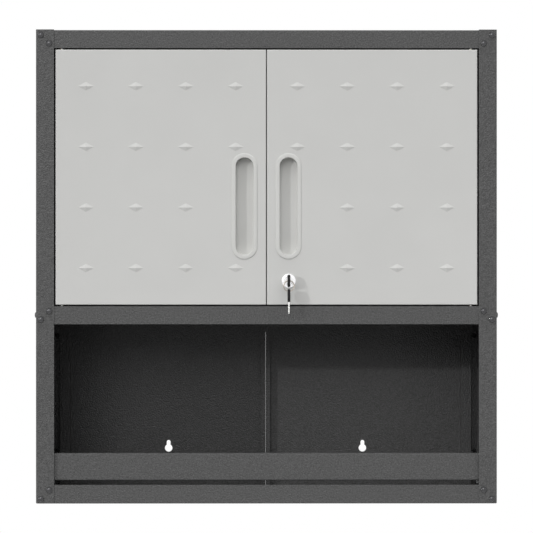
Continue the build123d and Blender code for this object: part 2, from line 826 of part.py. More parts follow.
with BuildPart() as key_cover:
    with BuildSketch(Plane.YZ.offset(-key_head_thick / 2)):
        with Locations((0, -key_head_length / 2)):
            RectangleRounded(key_head_height, key_head_length, key_head_corner)
        with Locations((0, -key_head_length + key_hole_inset)):
            Circle(key_hole_radius, mode=Mode.SUBTRACT)
    extrude(amount=key_head_thick)
    flats = key_cover.faces().filter_by(Axis.X)
    fillet([edge for flat in flats for edge in flat.outer_wire().edges()], key_head_edge)
    with Locations((0, 0, -key_blade_hidden)):
        Box(key_blade_thick, key_blade_height, key_blade_hidden,
            align=(Align.CENTER, Align.CENTER, Align.MIN), mode=Mode.SUBTRACT)

save(grouped(key_steel, [(lock_point(key_back), to_back)]), "key_blade")
save(grouped(key_cover, [(lock_point(key_back), to_back)]), "key_cover")

# Key ring: it hangs in the first key's hole and carries a spare key, tip down
ring_y = key_front + key_hole_inset
ring_centre_z = lock_z - ring_radius
spare_top = lock_z - 2 * ring_radius + key_hole_inset
spare_seat = (lock_from_centre, ring_y, spare_top - key_head_length)
with BuildPart() as ring:
    with Locations(Location((lock_from_centre, ring_y, ring_centre_z), to_front)):
        Torus(ring_radius, ring_wire_radius)
save(ring, "key_ring")
save(grouped(key_steel, [(spare_seat, downwards)]), "spare_key_blade")
save(grouped(key_cover, [(spare_seat, downwards)]), "spare_key_cover")
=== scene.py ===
import math

import bmesh
import bpy
import numpy as np
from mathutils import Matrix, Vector


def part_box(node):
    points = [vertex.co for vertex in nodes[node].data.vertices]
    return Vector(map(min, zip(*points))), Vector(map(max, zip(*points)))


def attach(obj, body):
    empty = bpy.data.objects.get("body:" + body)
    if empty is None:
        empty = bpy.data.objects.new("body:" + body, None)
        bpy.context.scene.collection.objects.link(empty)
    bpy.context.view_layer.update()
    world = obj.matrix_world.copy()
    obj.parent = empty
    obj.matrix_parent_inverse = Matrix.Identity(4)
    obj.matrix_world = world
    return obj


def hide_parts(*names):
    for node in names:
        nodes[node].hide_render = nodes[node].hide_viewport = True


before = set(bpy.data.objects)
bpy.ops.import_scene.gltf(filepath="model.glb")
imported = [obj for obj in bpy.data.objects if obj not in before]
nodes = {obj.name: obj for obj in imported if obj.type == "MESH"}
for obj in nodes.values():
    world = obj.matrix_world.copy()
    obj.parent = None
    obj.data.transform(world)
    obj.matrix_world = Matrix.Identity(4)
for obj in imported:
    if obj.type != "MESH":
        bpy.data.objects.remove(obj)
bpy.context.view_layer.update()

# Carcass: corner angles, trays, side panels, back pans, fence bar and loose shelf. All are
# mild steel, cut and folded, then powder coated charcoal. The powder is a textured grade: it
# cures into close hard grains like fine sandpaper, so it scatters light and looks mottled.
MM = 0.001


def linear(hex_colour):
    """Turns an sRGB hex value such as "#5a5a5a" into linear red, green, blue and alpha."""
    channels = np.array([int(hex_colour[i:i + 2], 16) for i in (1, 3, 5)]) / 255
    curved = ((channels + 0.055) / 1.055) ** 2.4
    return (*np.where(channels <= 0.04045, channels / 12.92, curved).tolist(), 1.0)


def add_node(tree, kind, settings=None, **inputs):
    """Adds one shader node, sets its properties, and fills or links its inputs by name."""
    node = tree.nodes.new("ShaderNode" + kind)
    for name, value in (settings or {}).items():
        setattr(node, name, value)
    for name, value in inputs.items():
        socket = node.inputs[name.replace("_", " ")]
        if isinstance(value, bpy.types.NodeSocket):
            tree.links.new(value, socket)
        else:
            socket.default_value = value
    return node


def new_material(name):
    """Starts an empty material and returns it with its node tree and Object coordinates."""
    material = bpy.data.materials.new(name)
    material.use_nodes = True
    material.node_tree.nodes.clear()
    place = add_node(material.node_tree, "TexCoord").outputs["Object"]
    return material, material.node_tree, place


def finish_material(tree, **inputs):
    """Ends a material with its surface shader, whose inputs are filled or linked by name."""
    shader = add_node(tree, "BsdfPrincipled", **inputs)
    add_node(tree, "OutputMaterial", Surface=shader.outputs["BSDF"])


def coat_nodes(material, names):
    """Gives each named CAD node that one material."""
    for name in names:
        nodes[name].data.materials.clear()
        nodes[name].data.materials.append(material)


# Real grains are about 0.5 mm across, drawn at 2.2 mm so that they show. Each stands up as a
# low round bead, whose top is where the Voronoi distance is least. The wide cloud is the
# slight change in powder thickness across a panel, which shifts the gloss a little.
sand_coat, tree, place = new_material("textured_charcoal_powder_coat")
sand = add_node(tree, "TexNoise", Vector=place, Scale=1 / (2.2 * MM), Detail=3.0,
                Roughness=0.7).outputs["Fac"]
beads = add_node(tree, "TexVoronoi", Vector=place, Scale=1 / (2.2 * MM)).outputs["Distance"]
cloud = add_node(tree, "TexNoise", Vector=place, Scale=1 / (70 * MM)).outputs["Fac"]
grain = add_node(tree, "MapRange", Value=sand, From_Min=0.3, From_Max=0.7).outputs["Result"]
finish_material(
    tree, IOR=1.34,
    Base_Color=add_node(tree, "MixRGB", Fac=grain, Color1=linear("#3a3a3a"),
                        Color2=linear("#5c5c5c")).outputs["Color"],
    Roughness=add_node(tree, "MapRange", Value=cloud, From_Min=0.3, From_Max=0.7,
                       To_Min=0.28, To_Max=0.32).outputs["Result"],
    Normal=add_node(tree, "Bump", Height=beads, Distance=-0.3 * MM).outputs["Normal"])
coat_nodes(sand_coat, [
    "post_front_left", "post_front_right", "post_rear_left", "post_rear_right",
    "side_panel_left", "side_panel_right", "top_panel", "fixed_shelf", "bottom_panel",
    "back_panel_upper_left", "back_panel_upper_right", "back_panel_lower_left",
    "back_panel_lower_right", "fence_bar", "adjustable_shelf", "catch_bracket",
])

# Frame bolts: M5 by 8 mm with plain domed heads, in rolled-thread steel. They are zinc
# plated, passivated black and sealed with a clear film. Each dome carries one bright spot of
# light, and mirrors the dark frame round its foot.
BOLT_INSET = 7.4 * MM
BOLT_RADIUS, BOLT_LENGTH, BOLT_PITCH, THREAD_DEPTH = 2.5 * MM, 8 * MM, 0.8 * MM, 0.45 * MM
HEAD_RADIUS, HEAD_HEIGHT = 4.7 * MM, 3.0 * MM
THREAD_START = 2.5 * MM
SIDES = 24


def grid_faces(rows, columns, closed_rows=False, closed_columns=True):
    """Joins a grid of points into four-sided faces: face (i, j) takes the points (i, j),
    (i, j + 1), (i + 1, j + 1) and (i + 1, j). A closed direction wraps back to its start."""
    i = np.arange(rows - (not closed_rows))[:, None]
    j = np.arange(columns - (not closed_columns))[None, :]
    lower, beside = (i + 1) % rows, (j + 1) % columns
    corners = (i * columns + j, i * columns + beside, lower * columns + beside,
               lower * columns + j)
    return np.stack([np.broadcast_to(c, (i.size, j.size)) for c in corners], -1).reshape(-1, 4)


def turned(radius, height, sides=SIDES):
    """Turns a profile about Z. Row i is a ring at height[i], whose radius is radius[i], or
    radius[i, j] where it also varies round the ring. The angle runs evenly from 0 to a full
    turn, x = radius times cosine and y = radius times sine."""
    angle = np.linspace(0, 2 * np.pi, sides, endpoint=False)
    radius = np.asarray(radius, float)
    radius = radius[:, None] if radius.ndim == 1 else radius
    height = np.asarray(height, float)[:, None]
    ring = np.broadcast_arrays(radius * np.cos(angle), radius * np.sin(angle), height)
    return np.stack(ring, -1).reshape(-1, 3), grid_faces(len(height), sides)


def aimed(surface, seat, axis):
    """Turns a surface so that its +Z runs along a row axis, and moves its origin to seat."""
    points, faces = surface
    ahead = np.array(axis, float)
    across = np.roll(np.abs(ahead), 1)
    return points @ np.array([across, np.cross(ahead, across), ahead]) + np.array(seat), faces


def make_piece(name, surfaces, material, body, replaced, crease=35):
    """Joins surfaces into one object, closes their seams and poles, turns the faces outwards
    and smooths every edge whose faces meet at less than crease degrees."""
    starts = np.cumsum([0] + [len(points) for points, faces in surfaces])
    points = np.concatenate([points for points, faces in surfaces])
    faces = np.concatenate([faces + start for (_, faces), start in zip(surfaces, starts)])
    mesh = bpy.data.meshes.new(name)
    mesh.from_pydata(points.tolist(), [], faces.tolist())
    work = bmesh.new()
    work.from_mesh(mesh)
    bmesh.ops.remove_doubles(work, verts=work.verts, dist=0.002 * MM)
    bmesh.ops.dissolve_degenerate(work, edges=work.edges, dist=0.001 * MM)
    bmesh.ops.recalc_face_normals(work, faces=work.faces)
    work.to_mesh(mesh)
    work.free()
    mesh.shade_smooth()
    mesh.set_sharp_from_angle(angle=math.radians(crease))
    mesh.materials.append(material)
    piece = bpy.data.objects.new(name, mesh)
    bpy.context.scene.collection.objects.link(piece)
    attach(piece, body)
    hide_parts(*replaced)


def thread(radius, start, end, pitch, depth, sides=SIDES, rows_per_pitch=5):
    """Returns the heights and radii of a screw thread. At height z and angle a, the radius is
    cut by depth times how far z / pitch - a / (full turn) is from the middle of its turn."""
    heights = np.linspace(start, end, int((end - start) / pitch * rows_per_pitch))
    turn = (heights[:, None] / pitch - np.arange(sides) / sides) % 1
    fade = np.clip(np.minimum(heights - start, end - heights) / pitch, 0, 1)[:, None]
    return heights, radius - depth * fade * np.abs(2 * turn - 1)


def domed(head_radius, head_height, rows=9, edge=0.25):
    """Returns the radii and heights of a dome below the seat: a quarter ellipse down to a
    short straight edge, which is that share of the head's height."""
    angle = np.linspace(0, np.pi / 2, rows)
    radii = head_radius * np.sin(angle)
    heights = -head_height * (edge + (1 - edge) * np.cos(angle))
    return np.append(radii, head_radius), np.append(heights, 0)


def bolt_surface():
    """A domed head below Z = 0, a plain shank, a rolled thread, and a chamfered end."""
    head_radii, head_heights = domed(HEAD_RADIUS, HEAD_HEIGHT)
    plain = [BOLT_RADIUS, BOLT_RADIUS]
    heights, radii = thread(BOLT_RADIUS, THREAD_START, BOLT_LENGTH - BOLT_PITCH / 2,
                            BOLT_PITCH, THREAD_DEPTH)
    ends = [BOLT_RADIUS - THREAD_DEPTH, 0]
    whole = np.concatenate([
        np.repeat(np.concatenate([head_radii, plain])[:, None], SIDES, 1), radii,
        np.repeat(np.array(ends)[:, None], SIDES, 1)])
    return turned(whole, np.concatenate(
        [head_heights, [0, THREAD_START], heights, [BOLT_LENGTH, BOLT_LENGTH]]))


# The plating's shade drifts a little, in patches about 2 mm across.
black_zinc, tree, place = new_material("black_passivated_zinc")
drift = add_node(tree, "TexNoise", Vector=place, Scale=1 / (2 * MM)).outputs["Fac"]
drift = add_node(tree, "MapRange", Value=drift, From_Min=0.3, From_Max=0.7).outputs["Result"]
finish_material(
    tree, Metallic=1.0, Coat_Weight=1.0, Coat_Roughness=0.05,
    Base_Color=add_node(tree, "MixRGB", Fac=drift, Color1=linear("#2e2e30"),
                        Color2=linear("#3c3c3e")).outputs["Color"],
    Roughness=add_node(tree, "MapRange", Value=drift, To_Min=0.2,
                       To_Max=0.3).outputs["Result"])

post_low, post_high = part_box("post_front_right")
rear_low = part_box("post_rear_right")[0]
top_low, top_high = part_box("top_panel")
shelf_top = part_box("fixed_shelf")[1].z
bottom_low, bottom_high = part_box("bottom_panel")
rail = top_high.z - top_low.z
outer_x, inner_x = post_high.x - BOLT_INSET, post_low.x + BOLT_INSET
front_places = [
    (outer_x, top_high.z - BOLT_INSET), (inner_x, top_low.z + BOLT_INSET),
    (inner_x, shelf_top - BOLT_INSET), (outer_x, shelf_top - rail + BOLT_INSET),
    (inner_x, bottom_high.z - BOLT_INSET), (outer_x, bottom_low.z + BOLT_INSET),
]
side_places = [((post_low.y + post_high.y) / 2, shelf_top - rail / 2)]
for low, high in ((top_low.z, top_high.z), (shelf_top - rail, shelf_top), (0, bottom_high.z)):
    side_places += [(rear_low.y + BOLT_INSET, low + BOLT_INSET),
                    (rear_low.y + BOLT_INSET, high - BOLT_INSET)]
bolt = bolt_surface()
make_piece("front_frame_bolts", [
    aimed(bolt, (side * x, post_low.y, z), (0, 1, 0)) for side in (-1, 1) for x, z in front_places
], black_zinc, "cabinet", ["front_bolts"])
make_piece("side_frame_bolts", [
    aimed(bolt, (side * post_high.x, y, z), (-side, 0, 0))
    for side in (-1, 1) for y, z in side_places
], black_zinc, "cabinet", ["side_bolts"])

# Frame nuts: plain M5 hexagon nuts, 8 mm across the flats and 4 mm thick. They are cold
# formed with both faces chamfered, and zinc plated and passivated to a pale blue-grey.
NUT_FLATS, NUT_HEIGHT, NUT_BORE = 8 * MM, 4 * MM, 2.55 * MM
FACE_SHARE, CHAMFER_SHARE, CHAMFER_RISE = 0.97, 0.12, math.radians(30)


def hex_nut(flats, height, bore, corner=0.0, sides=48):
    """A hexagon's radius at angle a is half the flats over the cosine of the angle from the
    nearest flat's middle, and its first corner is at the given angle. Near each face it is
    held inside a cone, whose radius starts at nearly half the flats and grows by the depth
    over the tangent of the cone's rise."""
    angle = np.linspace(0, 2 * np.pi, sides, endpoint=False)
    flat = flats / 2 / np.cos(((angle - corner) % (np.pi / 3)) - np.pi / 6)
    depths = np.linspace(0, CHAMFER_SHARE * height, 5)
    cones = [np.minimum(flat, FACE_SHARE * flats / 2 + depth / math.tan(CHAMFER_RISE))
             for depth in depths]
    mouth = np.full(sides, bore)
    radii = np.array([mouth] + cones + [flat, flat] + cones[::-1] + [mouth])
    middle = 2 * CHAMFER_SHARE * height
    heights = np.concatenate([[0], depths, [middle, height - middle], height - depths[::-1],
                              [height]])
    points, _ = turned(radii, heights, sides)
    return points, grid_faces(len(heights), sides, closed_rows=True)


# Zinc's crystals give it a soft, uneven shine, in patches about 6 mm across.
zinc_plate, tree, place = new_material("passivated_zinc_plate")
bloom = add_node(tree, "TexNoise", Vector=place, Scale=1 / (6 * MM)).outputs["Fac"]
bloom = add_node(tree, "MapRange", Value=bloom, From_Min=0.3, From_Max=0.7).outputs["Result"]
finish_material(
    tree, Metallic=1.0,
    Base_Color=add_node(tree, "MixRGB", Fac=bloom, Color1=linear("#aeb2b6"),
                        Color2=linear("#cfd0cf")).outputs["Color"],
    Roughness=add_node(tree, "MapRange", Value=bloom, To_Min=0.28,
                       To_Max=0.42).outputs["Result"])
nut = hex_nut(NUT_FLATS, NUT_HEIGHT, NUT_BORE)
front_nut_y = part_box("front_nuts")[0].y
side_nut_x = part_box("side_nuts")[1].x
make_piece("front_frame_nuts", [
    aimed(nut, (side * x, front_nut_y, z), (0, 1, 0)) for side in (-1, 1) for x, z in front_places
], zinc_plate, "cabinet", ["front_nuts"])
make_piece("side_frame_nuts", [
    aimed(nut, (side * side_nut_x, y, z), (-side, 0, 0)) for side in (-1, 1) for y, z in side_places
], zinc_plate, "cabinet", ["side_nuts"])

# Panel screws: M4 pan heads with a cross recess, in steel with a black phosphate finish, which
# is dull and never mirrors. Four hold the fence bar's end tabs, and ten hold the outer
# margins of the back pans.
SCREW_RADIUS, SCREW_HEAD_RADIUS, SCREW_HEAD = 2.0 * MM, 3.6 * MM, 2.0 * MM
CROSS_HALF_WIDTH, CROSS_REACH, CROSS_DEPTH = 0.45 * MM, 1.9 * MM, 1.1 * MM
CROSS_SIDE, CROSS_END, HEAD_RIM_SHARE = 0.3 * MM, 0.6 * MM, 0.3


def cross_screw(length, radius=SCREW_RADIUS, head_radius=SCREW_HEAD_RADIUS, head=SCREW_HEAD):
    """A pan head whose height at radius r is a quarter ellipse, less a cross recess that is
    deepest at the centre and fades at its arms' edges and ends, on a plain shank."""
    sides, rings = 48, 16
    r = np.linspace(0, 1, rings)[:, None] * head_radius
    angle = np.linspace(0, 2 * np.pi, sides, endpoint=False)
    across, along = np.abs(r * np.cos(angle)), np.abs(r * np.sin(angle))
    near, far = np.minimum(across, along), np.maximum(across, along)
    arm = np.clip((CROSS_HALF_WIDTH - near) / CROSS_SIDE + 0.5, 0, 1)
    arm *= np.clip((CROSS_REACH - far) / CROSS_END, 0, 1)
    crown = np.sqrt(1 - (r / head_radius) ** 2)
    dome = head * (HEAD_RIM_SHARE + (1 - HEAD_RIM_SHARE) * crown)
    height = -dome + CROSS_DEPTH * arm
    top = np.stack(np.broadcast_arrays(r * np.cos(angle), r * np.sin(angle), height), -1)
    below, _ = turned([head_radius, radius, radius, 0], [0, 0, length, length], sides)
    return np.concatenate([top.reshape(-1, 3), below]), grid_faces(rings + 4, sides)


# The phosphate's crystals make a matt skin, drawn with grains 0.4 mm across.
phosphate, tree, place = new_material("black_phosphated_steel")
crystals = add_node(tree, "TexNoise", Vector=place, Scale=1 / (0.4 * MM)).outputs["Fac"]
finish_material(
    tree, Roughness=0.7,
    Base_Color=add_node(tree, "MixRGB", Fac=crystals, Color1=linear("#141415"),
                        Color2=linear("#2a2a2b")).outputs["Color"],
    Normal=add_node(tree, "Bump", Height=crystals, Distance=0.02 * MM).outputs["Normal"])

FENCE_SHEET, TAB_SHARES = 1.0 * MM, (0.25, 0.75)
tab_low, tab_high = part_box("fence_bar")
fence_height = tab_high.z - tab_low.z
tab_face = tab_high.x - FENCE_SHEET
fence_screw = cross_screw(post_high.x - tab_face)
make_piece("fence_bar_screws", [
    aimed(fence_screw, (side * tab_face, side_places[0][0], tab_low.z + fence_height * share),
          (side, 0, 0)) for side in (-1, 1) for share in TAB_SHARES
], phosphate, "cabinet", ["fence_screws"])

screw_low, screw_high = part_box("back_panel_screws")
margin_face = screw_low.y + SCREW_HEAD
margin_x = screw_high.x - SCREW_HEAD_RADIUS
margin_screw = cross_screw(-margin_face)
margin_rows = []
for node, shares in (("back_panel_lower_right", (0.2, 0.85)),
                     ("back_panel_upper_right", (0.15, 0.5, 0.85))):
    low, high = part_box(node)
    margin_rows += [low.z + (high.z - low.z) * share for share in shares]
make_piece("back_pan_screws", [
    aimed(margin_screw, (side * margin_x, margin_face, z), (0, 1, 0))
    for side in (-1, 1) for z in margin_rows
], phosphate, "cabinet", ["back_panel_screws"])

# Small plated steel parts, stamped or turned and left in their zinc: the hinge brackets and
# pins, the shelf's clips, and the strike plates that the door magnets hold.
coat_nodes(zinc_plate, [
    "shelf_clips", "hinge_bracket_left", "hinge_bracket_right", "hinge_pins_left",
    "hinge_pins_right", "strike_plate_left", "strike_plate_right",
])

# Hinge bushes: natural nylon 6, injection moulded and pressed into the doors' corners. It is
# milky and a little warm, and lets some light in, so its edges never look hard.
nylon, tree, place = new_material("natural_nylon")
skin = add_node(tree, "TexNoise", Vector=place, Scale=1 / (0.8 * MM)).outputs["Fac"]
finish_material(
    tree, Roughness=0.5, IOR=1.53, Subsurface_Weight=0.15, Subsurface_Scale=1 * MM,
    Base_Color=add_node(tree, "MixRGB", Fac=skin, Color1=linear("#dad8cd"),
                        Color2=linear("#e2e0d7")).outputs["Color"],
    Normal=add_node(tree, "Bump", Height=skin, Distance=0.02 * MM).outputs["Normal"])
coat_nodes(nylon, ["door_bushes_left", "door_bushes_right"])

# Door magnets: blocks of pressed and sintered ferrite, glued into the catch bracket. The
# ceramic is dull and dark grey, with pores about a millimetre apart.
ferrite, tree, place = new_material("sintered_ferrite")
pores = add_node(tree, "TexNoise", Vector=place, Scale=1 / (0.9 * MM), Detail=4.0).outputs["Fac"]
finish_material(
    tree, Roughness=0.75,
    Base_Color=add_node(tree, "MixRGB", Fac=pores, Color1=linear("#121214"),
                        Color2=linear("#3c3c40")).outputs["Color"],
    Normal=add_node(tree, "Bump", Height=pores, Distance=0.1 * MM).outputs["Normal"])
coat_nodes(ferrite, ["catch_magnets"])

# Doors: pressed and folded mild steel, powder coated light grey in a smooth satin grade. Its
# only texture is a faint orange peel about 5 mm across, which is left as the powder flows.
smooth_coat, tree, place = new_material("smooth_light_grey_powder_coat")
peel = add_node(tree, "TexNoise", Vector=place, Scale=1 / (5 * MM)).outputs["Fac"]
cloud = add_node(tree, "TexNoise", Vector=place, Scale=1 / (90 * MM)).outputs["Fac"]
finish_material(
    tree, IOR=1.45, Roughness=0.7,
    Base_Color=add_node(tree, "MixRGB", Fac=cloud, Color1=linear("#c5c5c3"),
                        Color2=linear("#cbcbc9")).outputs["Color"],
    Normal=add_node(tree, "Bump", Height=peel, Distance=0.02 * MM).outputs["Normal"])
coat_nodes(smooth_coat, ["door_panel_left", "door_panel_right"])

# Recessed pulls: stadium-shaped cups moulded in ABS to the doors' light grey. A soft-edged
# flange stands proud of the door, and a straight-sided recess drops to a radiused floor.
PULL_RIM, PULL_PROUD, PULL_WALL = 6.1 * MM, 1.1 * MM, 1.2 * MM
PULL_LIP_RADIUS, PULL_FLOOR_RADIUS, PULL_EDGE_SHARE = 0.4 * MM, 1.6 * MM, 0.8


def arc(centre, radius, start, end, steps=6):
    """Points on an arc, from one angle to another in degrees, as (offset, depth) rows."""
    angle = np.radians(np.linspace(start, end, steps))
    return np.stack([centre[0] + radius * np.cos(angle), centre[1] + radius * np.sin(angle)], 1)


def stadium(profile, radius, half_straight, steps=24):
    """Carries a profile of (offset, depth) points round a stadium. At angle a, the point is
    (radius + offset) from the centre of the nearer end, and that centre is half_straight
    above or below the middle. X is across, Z is along, and Y is the depth."""
    upper = np.linspace(0, np.pi, steps)
    angle = np.concatenate([upper, upper + np.pi])
    middle = np.where(np.arange(2 * steps) < steps, half_straight, -half_straight)
    out = np.maximum(radius + profile[:, :1], 0)
    points = np.stack(np.broadcast_arrays(
        out * np.cos(angle), profile[:, 1:], out * np.sin(angle) + middle), -1)
    return points.reshape(-1, 3), grid_faces(len(profile), 2 * steps)


def pull_surface(width, height, depth):
    """Profile, from the middle of the recess's floor outwards: the floor, its radius up to the
    wall, the rounded lip, the flange's face and soft outer edge, then the flange's back, and
    the cup's outside down to the middle of its back."""
    lip, floor, back = PULL_LIP_RADIUS, PULL_FLOOR_RADIUS, depth - PULL_PROUD
    radius = width / 2 - PULL_RIM
    bottom = back - PULL_WALL
    edge = PULL_EDGE_SHARE * PULL_PROUD
    profile = np.concatenate([
        [(-radius, bottom)],
        arc((-floor, bottom - floor), floor, 90, 0, 8),
        arc((lip, lip - PULL_PROUD), lip, -180, -90),
        arc((PULL_RIM - edge, edge - PULL_PROUD), edge, -90, 0),
        [(PULL_RIM, 0), (PULL_WALL, 0)],
        arc((-floor, bottom - floor), floor + PULL_WALL, 0, 90, 8),
        [(-radius, back)],
    ])
    return stadium(profile, radius, height / 2 - width / 2)


# The mould is spark eroded, which leaves the plastic a fine satin grain. It is drawn 0.8 mm
# across, coarser than it is, so that it shows.
matt_abs, tree, place = new_material("light_grey_moulded_abs")
shade = add_node(tree, "TexNoise", Vector=place, Scale=1 / (40 * MM)).outputs["Fac"]
skin = add_node(tree, "TexNoise", Vector=place, Scale=1 / (0.8 * MM)).outputs["Fac"]
finish_material(
    tree, IOR=1.53, Roughness=0.42,
    Base_Color=add_node(tree, "MixRGB", Fac=shade, Color1=linear("#c4c4c1"),
                        Color2=linear("#cbcbc9")).outputs["Color"],
    Normal=add_node(tree, "Bump", Height=skin, Distance=0.01 * MM).outputs["Normal"])
for side in ("left", "right"):
    low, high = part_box(f"pull_cup_{side}")
    size = high - low
    points, faces = pull_surface(size.x, size.z, size.y)
    middle = ((low.x + high.x) / 2, low.y + PULL_PROUD, (low.z + high.z) / 2)
    make_piece(f"recessed_pull_{side}", [(points + np.array(middle), faces)], matt_abs,
               f"door_{side}", [f"pull_cup_{side}"], crease=50)

# Cam lock: a die-cast zinc barrel with a threaded body and a round, soft-edged face. It is
# turned, polished and chrome plated. The plug in it is the same, with the keyway broached.
FACE_RADIUS, FACE_PROUD, FACE_EDGE = 11.0 * MM, 2.6 * MM, 2.0 * MM
BARREL_THREAD, BARREL_PITCH, BARREL_CUT = 9.0 * MM, 1.0 * MM, 0.5 * MM
BORE_GAP, BORE_CHAMFER, PLAIN_END = 0.05 * MM, 0.2 * MM, 1.0 * MM


def lock_barrel_surface(length, bore):
    """Profile, closed on itself: the bore's mouth, the face, its rounded edge, the face's
    back at Z = 0, the threaded body to its end, and back through the bore."""
    sides = 64
    edge = arc((FACE_RADIUS - FACE_EDGE, FACE_EDGE - FACE_PROUD), FACE_EDGE, -90, 0, 9)
    heights, radii = thread(BARREL_THREAD, PLAIN_END, length - PLAIN_END, BARREL_PITCH,
                            BARREL_CUT, sides)
    mouth = [(bore, BORE_CHAMFER - FACE_PROUD), (bore + BORE_CHAMFER, -FACE_PROUD)]
    before = np.concatenate([mouth, edge, [(FACE_RADIUS, 0), (BARREL_THREAD, 0)]])
    after = np.array([(BARREL_THREAD - BARREL_CUT, length), (bore, length)])
    whole = np.concatenate([np.repeat(before[:, :1], sides, 1), radii,
                            np.repeat(after[:, :1], sides, 1)])
    points, _ = turned(whole, np.concatenate([before[:, 1], heights, after[:, 1]]), sides)
    return points, grid_faces(len(whole), sides, closed_rows=True)


# Handling leaves a faint haze in patches about 4 mm across, which softens what it mirrors.
chrome, tree, place = new_material("polished_chrome_plate")
haze = add_node(tree, "TexNoise", Vector=place, Scale=1 / (4 * MM)).outputs["Fac"]
finish_material(
    tree, Metallic=1.0,
    Base_Color=add_node(tree, "MixRGB", Fac=haze, Color1=linear("#eeeef0"),
                        Color2=linear("#fafafa")).outputs["Color"],
    Roughness=add_node(tree, "MapRange", Value=haze, From_Min=0.3, From_Max=0.7,
                       To_Min=0.16, To_Max=0.24).outputs["Result"])
barrel_low, barrel_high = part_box("lock_barrel")
lock_x, lock_z = (barrel_low.x + barrel_high.x) / 2, (barrel_low.z + barrel_high.z) / 2
door_face = barrel_low.y + FACE_PROUD
plug_low, plug_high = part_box("lock_plug")
barrel = lock_barrel_surface(barrel_high.y - door_face, (plug_high.x - plug_low.x) / 2 + BORE_GAP)
make_piece("cam_lock_barrel", [aimed(barrel, (lock_x, door_face, lock_z), (0, 1, 0))], chrome,
           "door_right", ["lock_barrel"])
coat_nodes(chrome, ["lock_plug"])

# Lock hardware behind the door: a thin chamfered hexagon nut grips the sheet, and a stamped
# steel cam on the plug's square end is held by a pan head screw. All of it is zinc plated.
CAM_SCREW_RADIUS = 1.9 * MM
nut_low, nut_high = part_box("lock_nut")
lock_nut = hex_nut(nut_high.z - nut_low.z, nut_high.y - nut_low.y, BARREL_THREAD + BORE_GAP,
                   corner=np.pi / 6)
make_piece("cam_lock_nut", [aimed(lock_nut, (lock_x, nut_low.y, lock_z), (0, 1, 0))], zinc_plate,
           "door_right", ["lock_nut"])
cam_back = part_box("lock_cam")[1].y
cam_screw_low, cam_screw_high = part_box("cam_screw")
cam_screw = cross_screw(cam_back - cam_screw_low.y, CAM_SCREW_RADIUS,
                        (cam_screw_high.x - cam_screw_low.x) / 2, cam_screw_high.y - cam_back)
make_piece("cam_fixing_screw", [aimed(cam_screw, (lock_x, cam_back, lock_z), (0, -1, 0))],
           zinc_plate, "lock_plug", ["cam_screw"])
coat_nodes(zinc_plate, ["lock_cam"])

# Key blades: steel blanks, milled with a groove along each side and cut along one edge, then
# nickel plated. One sits in the lock, and the spare hangs tip down from the ring.
BLADE_THICK, BLADE_HEIGHT, BLADE_LENGTH, BLADE_HIDDEN = 2.1 * MM, 7.0 * MM, 17.3 * MM, 6.0 * MM
BLADE_BEVEL, BLADE_TIP, GROOVE_DEPTH = 0.25 * MM, 2.3 * MM, 0.5 * MM
GROOVE_LOW, GROOVE_HIGH, CUT_MOUTH = -1.6 * MM, 0.4 * MM, 1.2 * MM
CUTS = [(5.2, 1.0), (7.8, 2.0), (10.4, 1.4), (13.0, 2.2)]  # place along and depth, in mm


def blade_surface():
    """A grooved section carried along Z. Its upper edge at height z is lowered by each cut's
    depth, which holds over the cut's mouth and then rises again at 45 degrees. Both edges
    close in at 45 degrees over the tip."""
    z = np.concatenate([[-BLADE_HIDDEN], np.linspace(0, BLADE_LENGTH, 140)])
    cut = np.zeros_like(z)
    for along, deep in CUTS:
        away = np.abs(z - along * MM) - CUT_MOUTH / 2
        cut = np.maximum(cut, np.clip(deep * MM - np.maximum(away, 0), 0, None))
    tip = np.clip(z - (BLADE_LENGTH - BLADE_TIP), 0, None)
    high = BLADE_HEIGHT / 2 - np.maximum(cut, tip)
    low = -BLADE_HEIGHT / 2 + tip
    half, one = BLADE_THICK / 2, np.ones_like(z)
    groove_side, groove_slope = half - GROOVE_DEPTH, GROOVE_DEPTH / 2
    side = [(half - BLADE_BEVEL, low), (half, low + BLADE_BEVEL), (half, GROOVE_LOW * one),
            (groove_side, (GROOVE_LOW + groove_slope) * one),
            (groove_side, (GROOVE_HIGH - groove_slope) * one), (half, GROOVE_HIGH * one),
            (half, high - BLADE_BEVEL), (half - BLADE_BEVEL, high)]
    section = side + [(-x, y) for x, y in side[::-1]]
    rows = np.stack([np.stack([x * one, np.clip(y, low, high), z], -1) for x, y in section], 1)
    ends = [np.repeat(rows[i].mean(0)[None], len(section), 0)[None] for i in (0, -1)]
    return (np.concatenate([ends[0], rows, ends[1]]).reshape(-1, 3),
            grid_faces(len(z) + 2, len(section)))


def placed_key(surface, seat, hanging=False):
    """Puts a key's surface at its seat. Its Z runs back into the lock, or down if hanging."""
    x, y, z = surface[0].T
    points = np.stack([x, -y, -z] if hanging else [-x, z, y], -1)
    return points + np.array(seat), surface[1]


